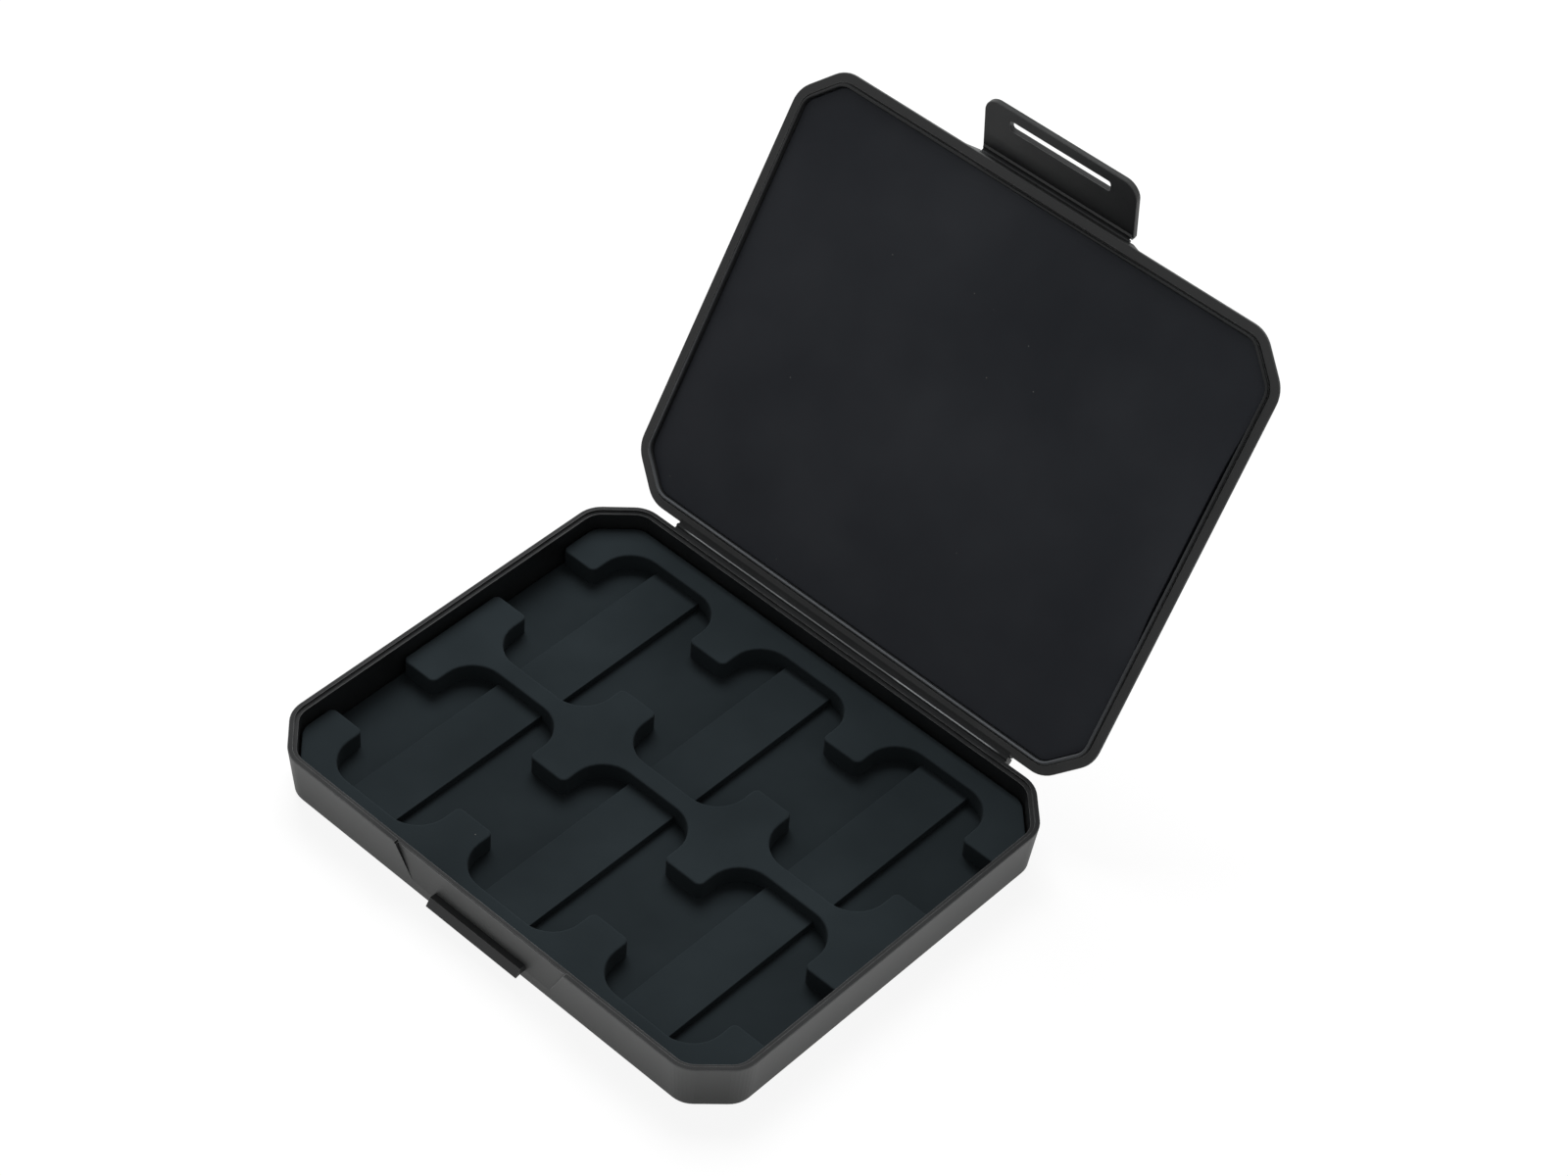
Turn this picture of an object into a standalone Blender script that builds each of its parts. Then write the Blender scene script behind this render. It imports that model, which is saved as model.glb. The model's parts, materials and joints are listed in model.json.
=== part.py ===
"""Hard plastic case for six square camera filters, shown open.

Base tray and lid fold on a long moulded hinge, and a slotted latch on the lid
snaps over a catch on the front of the base. A soft tray with six pockets lies in
the base and a flat soft liner lies in the lid.

Metres, +Z up. X runs along the hinge, -Y is the latch side, and the origin is the
middle of the underside of the base.
"""
import math

import bmesh
import bpy
from mathutils import Matrix, Vector

# Case outline, seen from above
CASE_LENGTH = 0.110
CASE_DEPTH = 0.0892
CORNER_CHAMFER = 0.0076
CORNER_RADIUS = 0.006
CORNER_STEPS = 6

# Base tray
BASE_HEIGHT = 0.0105
BASE_FLOOR = 0.0013
WALL_DRAFT = 0.00103
INNER_DRAFT = 0.0002
WALL = 0.00165
BOTTOM_ROUND = 0.00045
RIM_EDGE = 0.00012
OUTER_LAND = 0.0009
RABBET_DEPTH = 0.00045

# Lid
LID_ROOF = 0.0020
LID_EDGE = 0.0003
LID_BEVEL = 0.0026
LID_TOP_DROP = 0.0009
LID_TOP_ROUND = 0.0019
LIP_INSET = 0.0021
LIP_WIDTH = 0.00025
LIP_HEIGHT = 0.00045
GROOVE_WIDTH = 0.0004
GROOVE_DEPTH = 0.0003
LINER_SLOPE = 0.0003

# Clearances, and how far a shape reaches into the one it is joined to or cut from
FIT_GAP = 0.0003
SEAM = 0.00005
EMBED = 0.0006

# Moulded hinge
HINGE_MARGIN = 0.0071
HINGE_SETBACK = 0.00065
HINGE_BEAD = 0.00035
LEAF_THICKNESS = 0.0015
LEAF_ROOT = 0.0033
STOP_WIDTH = 0.0004
OPEN_ANGLE = 120.5

# Latch and catch
LATCH_WIDTH = 0.0340
LATCH_THICKNESS = 0.0011
LATCH_CORNER = 0.0031
LATCH_EDGE = 0.0002
LATCH_PLATE_START = 0.00045
LATCH_FOOT = 0.0013
LATCH_FOOT_STEP = 0.0003
LATCH_FOOT_NARROWING = 0.0003
LATCH_BEAD = 0.0003
LATCH_PIVOT_HEIGHT = 0.0018
LATCH_PIVOT_OUT = 0.0001
LATCH_TIP_HEIGHT = 0.0003
LATCH_REST_ANGLE = 54.3
CATCH_WIDTH = 0.0218
CATCH_BOTTOM = 0.00285
CATCH_HEIGHT = 0.0016
CATCH_SHY = 0.0001
CATCH_LIP = 0.0010
CATCH_UNDERCUT = 0.00025
SLOT_CORNER = 0.0006

# Recess for the latch in the base, and the latch's landing on the lid
RECESS_SIDE_ROOM = 0.0033
RECESS_TAPER = 0.0037
RECESS_DEPTH = 0.00075
LANDING_MARGIN = 0.0004
LANDING_ABOVE_PIVOT = 0.0004

# Soft tray
TRAY_DROP = 0.00355
TRAY_FLOOR = 0.0011
POCKET_WIDTH = 0.0242
POCKET_LENGTH = 0.0365
POCKET_CORNER = 0.0064
TOOTH_WIDTH = 0.0086
ROW_WEB = 0.0037
ROW_SHIFT = -0.0005
COLUMNS = 3
CHANNEL_WIDTH = 0.0168
RIB_WIDTH = 0.0108
RIB_HEIGHT = 0.0014
FILM_THICKNESS = 0.0002
FILM_INSET = 0.0005

# Soft liner
LINER_DROP = 0.00028
LINER_THICKNESS = 0.0012

# Places that follow from the sizes above
FRONT_Y = -CASE_DEPTH / 2
AXIS_Y = CASE_DEPTH / 2 + HINGE_SETBACK
AXIS_Z = BASE_HEIGHT + FIT_GAP / 2
TRAY_BOTTOM = BASE_FLOOR + FIT_GAP + FILM_THICKNESS + FIT_GAP
TRAY_TOP = BASE_HEIGHT - TRAY_DROP
POCKET_FLOOR = TRAY_BOTTOM + TRAY_FLOOR
TRAY_INSET = WALL + INNER_DRAFT + FIT_GAP
LINER_INSET = LIP_INSET + LIP_WIDTH + LINER_SLOPE
PIVOT_Z = BASE_HEIGHT + FIT_GAP + LATCH_PIVOT_HEIGHT
PIVOT_Y = FRONT_Y - LATCH_PIVOT_OUT
LATCH_LENGTH = PIVOT_Z - LATCH_TIP_HEIGHT
LATCH_INNER = FIT_GAP / 2 + LATCH_FOOT_STEP
LATCH_OUTER = LATCH_INNER + LATCH_THICKNESS
LATCH_FOOT_WIDTH = LATCH_WIDTH - LATCH_FOOT_NARROWING * 2
RECESS_Y = FRONT_Y + RECESS_DEPTH
RECESS_TOP_WIDTH = LATCH_WIDTH + RECESS_SIDE_ROOM * 2
LANDING_WIDTH = RECESS_TOP_WIDTH - LANDING_MARGIN * 2
LANDING_TOP_WIDTH = LATCH_WIDTH + LANDING_MARGIN * 2
HINGE_LENGTH = CASE_LENGTH - (CORNER_CHAMFER + HINGE_MARGIN) * 2
POCKET_PITCH = POCKET_WIDTH + TOOTH_WIDTH
ROW_PITCH = POCKET_LENGTH + ROW_WEB
LINER_RECESS = LINER_DROP + LINER_THICKNESS + FIT_GAP + FILM_THICKNESS + FIT_GAP
LID_HEIGHT = LINER_RECESS + LID_ROOF

# Making of the meshes
WELD = 1e-6
FLAT_ANGLE = math.radians(0.5)
SHARP_ANGLE = math.radians(30)
BEVEL_ANGLE = math.radians(60)
ROD_SIDES = 24
ARC_STEPS = 12
TOP_ROUND_STEPS = 3
SLOT_CORNER_STEPS = 4

COLORS = {
    "shell": ((0.055, 0.057, 0.056, 1.0), 0.55),
    "tray": ((0.030, 0.036, 0.040, 1.0), 0.85),
    "liner": ((0.022, 0.024, 0.027, 1.0), 0.80),
    "film": ((0.60, 0.58, 0.52, 1.0), 0.60),
}


def clear_scene():
    for obj in list(bpy.data.objects):
        bpy.data.objects.remove(obj, do_unlink=True)


def new_collection(name):
    collection = bpy.data.collections.new(name)
    bpy.context.scene.collection.children.link(collection)
    return collection


def material(name, look):
    color, roughness = COLORS[look]
    made = bpy.data.materials.new(name)
    made.use_nodes = True
    shader = made.node_tree.nodes["Principled BSDF"]
    shader.inputs["Base Color"].default_value = color
    shader.inputs["Roughness"].default_value = roughness
    shader.inputs["Metallic"].default_value = 0.0
    made.diffuse_color = color
    return made


def as_part(obj, name, look):
    """Names a finished piece, gives it its own material and files it with the parts."""
    obj.name = name
    obj.data.name = name
    obj.data.materials.clear()
    obj.data.materials.append(material(name + "_material", look))
    obj.data.shade_smooth()
    obj.data.set_sharp_from_angle(angle=SHARP_ANGLE)
    PARTS.objects.link(obj)
    return obj


def as_cutter(obj, name):
    """Files a helper solid that cuts or joins a part and isn't shown itself."""
    obj.name = name
    obj.hide_render = True
    obj.display_type = "WIRE"
    CUTTERS.objects.link(obj)
    return obj


def outline(inset):
    """Rounded octagon of the case, drawn in by inset, anticlockwise from the right side."""
    half_x = CASE_LENGTH / 2 - inset
    half_y = CASE_DEPTH / 2 - inset
    leg = CORNER_CHAMFER - inset * (2 - math.sqrt(2))
    radius = max(CORNER_RADIUS - inset, RIM_EDGE)
    corners = []
    for sx, sy in ((1, 1), (-1, 1), (-1, -1), (1, -1)):
        on_side = Vector((sx * half_x, sy * (half_y - leg)))
        on_end = Vector((sx * (half_x - leg), sy * half_y))
        corners += [on_side, on_end] if sx * sy > 0 else [on_end, on_side]
    return rounded(corners, radius)


def rounded(corners, radius, steps=CORNER_STEPS):
    """A closed outline with an arc of the given radius at each corner."""
    points = []
    count = len(corners)
    for i, corner in enumerate(corners):
        before = (corners[i - 1] - corner).normalized()
        after = (corners[(i + 1) % count] - corner).normalized()
        half = before.angle(after) / 2
        center = corner + (before + after).normalized() * (radius / math.sin(half))
        start = corner + before * (radius / math.tan(half)) - center
        turn = math.pi - 2 * half
        for k in range(steps + 1):
            points.append(center + Matrix.Rotation(turn * k / steps, 2) @ start)
    return points


def arc(center, radius, start, end, steps=ARC_STEPS):
    """Points on an arc, angles in degrees."""
    angles = [math.radians(start + (end - start) * k / steps) for k in range(steps + 1)]
    return [Vector((center[0] + radius * math.cos(a), center[1] + radius * math.sin(a))) for a in angles]


def loft(rings):
    """A closed solid through (inset, height) outlines, flat at the first and the last."""
    bm = bmesh.new()
    loops = [[bm.verts.new((p.x, p.y, z)) for p in outline(inset)] for inset, z in rings]
    for low, high in zip(loops, loops[1:]):
        for i, corner in enumerate(low):
            bm.faces.new((low[i - 1], corner, high[i], high[i - 1]))
    bm.faces.new(loops[0])
    bm.faces.new(loops[-1])
    bmesh.ops.recalc_face_normals(bm, faces=bm.faces)
    mesh = bpy.data.meshes.new("loft")
    bm.to_mesh(mesh)
    bm.free()
    return bpy.data.objects.new("loft", mesh)


def extruded(points, low, high, frame=None):
    """A filled outline in its own XY plane, thick from low to high, then turned by frame."""
    curve = bpy.data.curves.new("outline", "CURVE")
    curve.dimensions = "2D"
    curve.fill_mode = "BOTH"
    curve.extrude = (high - low) / 2
    spline = curve.splines.new("POLY")
    spline.points.add(len(points) - 1)
    for place, point in zip(spline.points, points):
        place.co = (point[0], point[1], 0.0, 1.0)
    spline.use_cyclic_u = True
    drawn = bpy.data.objects.new("outline", curve)
    bpy.context.scene.collection.objects.link(drawn)
    bpy.context.view_layer.update()
    mesh = bpy.data.meshes.new_from_object(drawn.evaluated_get(bpy.context.evaluated_depsgraph_get()))
    bpy.data.objects.remove(drawn, do_unlink=True)
    bm = bmesh.new()
    bm.from_mesh(mesh)
    bmesh.ops.remove_doubles(bm, verts=bm.verts, dist=WELD)
    bmesh.ops.dissolve_limit(bm, angle_limit=FLAT_ANGLE, verts=bm.verts, edges=bm.edges)
    bmesh.ops.translate(bm, verts=bm.verts, vec=(0, 0, (high + low) / 2))
    bmesh.ops.transform(bm, verts=bm.verts, matrix=(frame or Matrix.Identity(4)))
    bmesh.ops.recalc_face_normals(bm, faces=bm.faces)
    bm.to_mesh(mesh)
    bm.free()
    return bpy.data.objects.new("outline", mesh)


# Turns an outline drawn in (Y, Z) so that it is extruded along X
ALONG_X = Matrix(((0, 0, 1, 0), (1, 0, 0, 0), (0, 1, 0, 0), (0, 0, 0, 1)))
# Turns an outline drawn in (X, Z) so that it is extruded along -Y
ALONG_Y = Matrix(((1, 0, 0, 0), (0, 0, -1, 0), (0, 1, 0, 0), (0, 0, 0, 1)))


def bar(points, length):
    """A bar along X with the given (Y, Z) section."""
    return extruded(points, -length / 2, length / 2, ALONG_X)


def box(low, high):
    bm = bmesh.new()
    bmesh.ops.create_cube(bm, size=1.0)
    size = Vector(high) - Vector(low)
    middle = (Vector(high) + Vector(low)) / 2
    bmesh.ops.scale(bm, verts=bm.verts, vec=size)
    bmesh.ops.translate(bm, verts=bm.verts, vec=middle)
    mesh = bpy.data.meshes.new("box")
    bm.to_mesh(mesh)
    bm.free()
    return bpy.data.objects.new("box", mesh)


def rod(radius, length, y, z):
    """A round bar along X."""
    bm = bmesh.new()
    bmesh.ops.create_cone(
        bm, cap_ends=True, segments=ROD_SIDES, radius1=radius, radius2=radius, depth=length,
        matrix=Matrix.Translation((0, y, z)) @ Matrix.Rotation(math.radians(90), 4, "Y"),
    )
    mesh = bpy.data.meshes.new("rod")
    bm.to_mesh(mesh)
    bm.free()
    return bpy.data.objects.new("rod", mesh)


def boolean(obj, other, operation, solver="EXACT"):
    modifier = obj.modifiers.new(other.name, "BOOLEAN")
    modifier.object = other
    modifier.operation = operation
    modifier.solver = solver


def join(obj, other, name, solver="EXACT"):
    boolean(obj, as_cutter(other, name), "UNION", solver)
    return other


def cut(obj, other, name, solver="EXACT"):
    boolean(obj, as_cutter(other, name), "DIFFERENCE", solver)
    return other


def draft(z):
    """How far the drafted outer wall of the base stands in from the rim at height z."""
    return WALL_DRAFT * (1 - z / BASE_HEIGHT)


def make_base():
    """Drafted base tray with a stepped rim, the latch's recess and catch, and its hinge leaf."""
    top = BASE_HEIGHT
    rings = [
        (draft(0) + BOTTOM_ROUND, 0),
        (draft(0) + BOTTOM_ROUND / 4, BOTTOM_ROUND / 4),
        (draft(BOTTOM_ROUND), BOTTOM_ROUND),
        (draft(top - RIM_EDGE), top - RIM_EDGE),
        (RIM_EDGE, top),
        (OUTER_LAND, top),
        (OUTER_LAND, top - RABBET_DEPTH),
        (WALL, top - RABBET_DEPTH),
        (WALL + INNER_DRAFT, BASE_FLOOR),
    ]
    base = as_part(loft(rings), "base_shell", "shell")
    cut(base, recess_cutter(), "latch_recess")
    cut(base, land_cutter(), "latch_land_cut")
    join(base, catch_bar(), "catch_bar")
    join(base, base_leaf(), "base_leaf")
    return base


def recess_cutter():
    """Upright front recess for the latch, narrower at its foot, running out where the wall meets it."""
    above = BASE_HEIGHT + RABBET_DEPTH
    slope = RECESS_TAPER / (BASE_HEIGHT - CATCH_BOTTOM)
    low_half = RECESS_TOP_WIDTH / 2 - slope * BASE_HEIGHT
    high_half = RECESS_TOP_WIDTH / 2 + slope * RABBET_DEPTH
    points = [(-low_half, 0), (low_half, 0), (high_half, above), (-high_half, above)]
    return extruded(points, -RECESS_Y, WALL - FRONT_Y, ALONG_Y)


def land_cutter():
    """Opens the outer land of the rim over the recess."""
    half = RECESS_TOP_WIDTH / 2
    low = (-half, FRONT_Y - WALL, BASE_HEIGHT - RABBET_DEPTH - SEAM)
    high = (half, FRONT_Y + OUTER_LAND + SEAM, BASE_HEIGHT + RABBET_DEPTH)
    return box(low, high)


def catch_bar():
    """Bar that the latch's slot passes over, sloping out to a lip along its lower edge."""
    root = RECESS_Y + EMBED
    under = CATCH_BOTTOM + CATCH_UNDERCUT
    top = CATCH_BOTTOM + CATCH_HEIGHT
    lip = PIVOT_Y - LATCH_OUTER + CATCH_SHY
    face = lip + CATCH_LIP
    points = [(root, under), (face, under), (lip, CATCH_BOTTOM), (face, top - SEAM), (root, top)]
    return bar(points, CATCH_WIDTH)


def base_leaf():
    """Leaf behind the rim with a bead on the fold line and the ledge that stops the lid."""
    leaf_top = -FIT_GAP / 2 - SEAM
    meet = math.degrees(math.asin(leaf_top / HINGE_BEAD))
    tilt = math.radians(OPEN_ANGLE - 90)
    reach = Vector((math.cos(tilt), -math.sin(tilt)))
    down = Vector((reach.y, -reach.x))
    near = reach * (HINGE_BEAD + FIT_GAP / 2) + down * FIT_GAP
    far = reach * (FIT_GAP / 2 + LEAF_THICKNESS) + down * FIT_GAP
    inside = -HINGE_SETBACK - EMBED
    points = [Vector((inside, leaf_top))]
    points += arc((0, 0), HINGE_BEAD, 180 - meet, math.degrees(math.atan2(near.y, near.x)))
    points += [near, far, far + down * STOP_WIDTH, Vector((inside, -LEAF_ROOT))]
    return bar([(p.x + AXIS_Y, p.y + AXIS_Z) for p in points], HINGE_LENGTH)


def make_tray():
    """Soft tray with two rows of pockets, a channel through each row and a rib in each pocket."""
    tray = as_part(extruded(outline(TRAY_INSET), TRAY_BOTTOM, TRAY_TOP), "filter_tray", "tray")
    for row, side in (("front", -1), ("back", 1)):
        middle = side * ROW_PITCH / 2 + ROW_SHIFT
        cut(tray, row_cutter(middle), row + "_row", "MANIFOLD")
        for column in range(COLUMNS):
            join(tray, rib(column_x(column), middle), "%s_rib_%d" % (row, column + 1), "MANIFOLD")
    return tray


def column_x(column):
    return (column - (COLUMNS - 1) / 2) * POCKET_PITCH


def row_cutter(middle):
    """Channel across the tray with three round-cornered pockets on it."""
    beyond = CASE_LENGTH / 2
    half_channel = CHANNEL_WIDTH / 2
    edge = [Vector((-beyond, -half_channel))]
    for column in range(COLUMNS):
        x = column_x(column)
        left, right = x - POCKET_WIDTH / 2, x + POCKET_WIDTH / 2
        low = -POCKET_LENGTH / 2
        edge.append(Vector((left, -half_channel)))
        edge += arc((left + POCKET_CORNER, low + POCKET_CORNER), POCKET_CORNER, 180, 270)
        edge += arc((right - POCKET_CORNER, low + POCKET_CORNER), POCKET_CORNER, 270, 360)
        edge.append(Vector((right, -half_channel)))
    edge.append(Vector((beyond, -half_channel)))
    points = edge + [Vector((p.x, -p.y)) for p in reversed(edge)]
    return extruded([(p.x, p.y + middle) for p in points], POCKET_FLOOR, BASE_HEIGHT)


def rib(x, middle):
    """Flat rib along the middle of a pocket."""
    half = POCKET_LENGTH / 2 + EMBED
    low = (x - RIB_WIDTH / 2, middle - half, POCKET_FLOOR - TRAY_FLOOR / 2)
    high = (x + RIB_WIDTH / 2, middle + half, POCKET_FLOOR + RIB_HEIGHT)
    return box(low, high)


def make_tray_film():
    """Bonding film between the soft tray and the floor of the base."""
    low = BASE_FLOOR + FIT_GAP
    shape = extruded(outline(TRAY_INSET + FILM_INSET), low, low + FILM_THICKNESS)
    return as_part(shape, "tray_film", "film")


def lid_place(obj, pivot):
    """Lid pieces are made shut and level about the case's middle, then hung on the fold line."""
    obj.data.transform(Matrix.Translation((0, -AXIS_Y, FIT_GAP / 2)))
    obj.parent = pivot
    return obj


def make_lid(pivot):
    """Shallow lid, as it lies when shut: a lip drops inside the wall of the base, with a groove beside it."""
    rings = [
        (LINER_INSET, LINER_RECESS),
        (LINER_INSET, LINER_DROP),
        (LIP_INSET + LIP_WIDTH, -LIP_HEIGHT),
        (LIP_INSET, -LIP_HEIGHT),
        (LIP_INSET, GROOVE_DEPTH),
        (LIP_INSET - GROOVE_WIDTH, GROOVE_DEPTH),
        (LIP_INSET - GROOVE_WIDTH, 0),
        (RIM_EDGE, 0),
        (0, RIM_EDGE),
        (0, LID_EDGE),
    ]
    for k in range(TOP_ROUND_STEPS + 1):
        across = k / TOP_ROUND_STEPS
        rings.append((LID_BEVEL + LID_TOP_ROUND * across, LID_HEIGHT - LID_TOP_DROP * (1 - across) ** 2))
    lid = as_part(lid_place(loft(rings), pivot), "lid_shell", "shell")
    for shape, name in ((landing(), "latch_landing"), (latch_bead(), "latch_bead"), (lid_leaf(), "lid_leaf")):
        join(lid, lid_place(shape, pivot), name)
    return lid


def landing():
    """Upright pad on the lid's front edge that carries the latch, sloping down at both ends."""
    top = LATCH_PIVOT_HEIGHT + LANDING_ABOVE_PIVOT
    foot = (RIM_EDGE + LID_EDGE) / 2
    front = CASE_DEPTH / 2 - SEAM
    points = [
        (-LANDING_WIDTH / 2, foot),
        (LANDING_WIDTH / 2, foot),
        (LANDING_TOP_WIDTH / 2, top),
        (-LANDING_TOP_WIDTH / 2, top),
    ]
    return extruded(points, front - LID_BEVEL, front, ALONG_Y)


def latch_bead():
    """Bead along the fold of the latch."""
    return rod(LATCH_BEAD, LATCH_FOOT_WIDTH, PIVOT_Y, LATCH_PIVOT_HEIGHT)


def lid_leaf():
    """Leaf behind the lid's edge, hollowed round the bead of the base."""
    hollow = HINGE_BEAD + FIT_GAP
    low = FIT_GAP / 2 + SEAM
    meet = math.degrees(math.asin(low / hollow))
    top = FIT_GAP / 2 + LEAF_THICKNESS
    inside = -HINGE_SETBACK - WALL
    points = [Vector((inside, low))]
    points += arc((0, 0), hollow, 180 - meet, 90)
    points += [Vector((0, top)), Vector((inside, top))]
    return bar([(p.x + AXIS_Y, p.y - FIT_GAP / 2) for p in points], HINGE_LENGTH)


def make_liner(pivot):
    """Soft sheet that fills the lid's recess."""
    liner = extruded(outline(LINER_INSET + FIT_GAP), LINER_DROP, LINER_DROP + LINER_THICKNESS)
    return as_part(lid_place(liner, pivot), "lid_liner", "liner")


def make_liner_film(pivot):
    """Bonding film between the lid's liner and its roof."""
    low = LINER_DROP + LINER_THICKNESS + FIT_GAP
    film = extruded(outline(LINER_INSET + FIT_GAP + FILM_INSET), low, low + FILM_THICKNESS)
    return as_part(lid_place(film, pivot), "liner_film", "film")


def make_latch(pivot):
    """Latch plate hanging down from its pivot, as it does when it is shut."""
    half = LATCH_WIDTH / 2
    top = -LATCH_PLATE_START
    plate = [Vector((-half, top)), Vector((half, top))]
    plate += arc((half - LATCH_CORNER, LATCH_CORNER - LATCH_LENGTH), LATCH_CORNER, 0, -90)
    plate += arc((LATCH_CORNER - half, LATCH_CORNER - LATCH_LENGTH), LATCH_CORNER, 270, 180)
    latch = as_part(extruded(plate, LATCH_INNER, LATCH_OUTER, ALONG_Y), "latch", "shell")
    soften = latch.modifiers.new("edges", "BEVEL")
    soften.width = LATCH_EDGE
    soften.segments = 2
    soften.limit_method = "ANGLE"
    soften.angle_limit = BEVEL_ANGLE
    foot = join(latch, latch_foot(), "latch_foot")
    hollow = cut(latch, latch_hollow(), "latch_hollow")
    slot = cut(latch, slot_cutter(), "latch_slot")
    for piece in (latch, foot, hollow, slot):
        piece.parent = pivot
    return latch


def latch_foot():
    """Thicker foot of the latch along its pivot."""
    near = -FIT_GAP / 2
    within = SEAM - LATCH_OUTER
    points = [
        (near, 0),
        (near, LATCH_FOOT_STEP - LATCH_FOOT),
        (-LATCH_INNER - SEAM, -LATCH_FOOT),
        (within, -LATCH_FOOT),
        (within, 0),
    ]
    return bar(points, LATCH_FOOT_WIDTH)


def latch_hollow():
    """Room for the lid's bead along the pivot."""
    return rod(LATCH_BEAD + FIT_GAP, LATCH_WIDTH + EMBED, 0, 0)


def slot_cutter():
    """Slot through the latch that clears the catch bar when both are shut."""
    half = CATCH_WIDTH / 2 + FIT_GAP + SEAM
    low = CATCH_BOTTOM - FIT_GAP - PIVOT_Z
    high = CATCH_BOTTOM + CATCH_HEIGHT + FIT_GAP - PIVOT_Z
    corners = [Vector((half, high)), Vector((-half, high)), Vector((-half, low)), Vector((half, low))]
    return extruded(rounded(corners, SLOT_CORNER, SLOT_CORNER_STEPS), 0, LATCH_OUTER + EMBED, ALONG_Y)


def empty_at(name, place, parent=None):
    made = bpy.data.objects.new(name, None)
    made.empty_display_size = LID_HEIGHT
    made.location = place
    made.parent = parent
    PARTS.objects.link(made)
    return made


clear_scene()
PARTS = new_collection("filter_case")
CUTTERS = new_collection("filter_case_cutters")

make_base()
make_tray()
make_tray_film()

lid_pivot = empty_at("lid_fold", (0, AXIS_Y, AXIS_Z))
make_lid(lid_pivot)
make_liner(lid_pivot)
make_liner_film(lid_pivot)

latch_pivot = empty_at("latch_fold", (0, PIVOT_Y - AXIS_Y, PIVOT_Z - AXIS_Z), lid_pivot)
make_latch(latch_pivot)

# The case stands open on its hinge stop with the latch half raised
lid_pivot.rotation_euler.x = -math.radians(OPEN_ANGLE)
latch_pivot.rotation_euler.x = -math.radians(LATCH_REST_ANGLE)
bpy.context.view_layer.update()
print("latch pivot at rest:", [round(v, 6) for v in latch_pivot.matrix_world.translation])
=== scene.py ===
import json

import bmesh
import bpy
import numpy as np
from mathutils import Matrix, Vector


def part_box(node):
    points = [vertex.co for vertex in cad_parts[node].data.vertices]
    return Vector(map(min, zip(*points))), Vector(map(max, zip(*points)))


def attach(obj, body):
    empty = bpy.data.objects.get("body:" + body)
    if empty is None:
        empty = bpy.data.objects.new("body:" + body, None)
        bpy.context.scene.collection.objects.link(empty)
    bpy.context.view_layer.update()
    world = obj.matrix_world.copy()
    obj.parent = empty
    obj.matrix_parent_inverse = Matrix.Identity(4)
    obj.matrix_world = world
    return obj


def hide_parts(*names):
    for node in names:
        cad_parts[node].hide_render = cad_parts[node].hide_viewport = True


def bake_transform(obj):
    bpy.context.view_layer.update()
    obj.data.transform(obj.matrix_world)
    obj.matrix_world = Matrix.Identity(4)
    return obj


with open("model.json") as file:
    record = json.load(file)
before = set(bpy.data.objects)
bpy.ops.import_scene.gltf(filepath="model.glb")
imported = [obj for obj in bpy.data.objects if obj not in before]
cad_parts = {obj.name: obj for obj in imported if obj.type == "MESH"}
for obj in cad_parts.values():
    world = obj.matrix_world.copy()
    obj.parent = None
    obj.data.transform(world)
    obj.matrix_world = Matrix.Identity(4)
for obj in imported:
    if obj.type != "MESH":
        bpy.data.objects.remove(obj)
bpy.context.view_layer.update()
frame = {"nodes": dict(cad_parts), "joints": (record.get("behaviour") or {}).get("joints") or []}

# %% [markdown]
# # A filter case, dressed for the camera
#
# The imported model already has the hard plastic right: base, lid and latch. What it
# lacks is everything soft, the thin webs that join the moulding at its folds, and
# every finish. This lesson adds those, piece by piece, in metres and in the model's
# own frame: X along the hinge, -Y towards the latch, Z up.

mm = 0.001
nodes = frame["nodes"]
joints = {joint["name"]: joint for joint in frame["joints"]}
print("CAD nodes:", sorted(nodes))

# %% [markdown]
# ## The outline that everything follows
#
# Base, lid, soft tray and liner all share one rounded octagon, each a little further
# in. A corner rounded by an arc can be moved inwards without changing its point
# count: the corner slides along its bisector, and the arc loses that much radius
# where the material is convex, or gains it where it is hollow. So a wall with a
# rounded top edge is only a stack of such outlines.

# %% Rounded outlines that can be drawn in
CASE_LENGTH = 110.0 * mm
CASE_DEPTH = 89.2 * mm
CHAMFER = 7.6 * mm
CORNER_RADIUS = 6.0 * mm
LEAST_RADIUS = 0.01 * mm


def octagon_corners(inset):
    """Corners of the case outline drawn in by inset: half sizes lose the inset, and a
    45 degree chamfer leg loses inset times two minus root two."""
    half_x = CASE_LENGTH / 2 - inset
    half_y = CASE_DEPTH / 2 - inset
    leg = CHAMFER - inset * (2 - np.sqrt(2))
    quarter = np.array([[half_x, half_y - leg], [half_x - leg, half_y]])
    flip = np.array([-1, 1])
    return np.concatenate([quarter, quarter[::-1] * flip, -quarter, -quarter[::-1] * flip])


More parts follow.
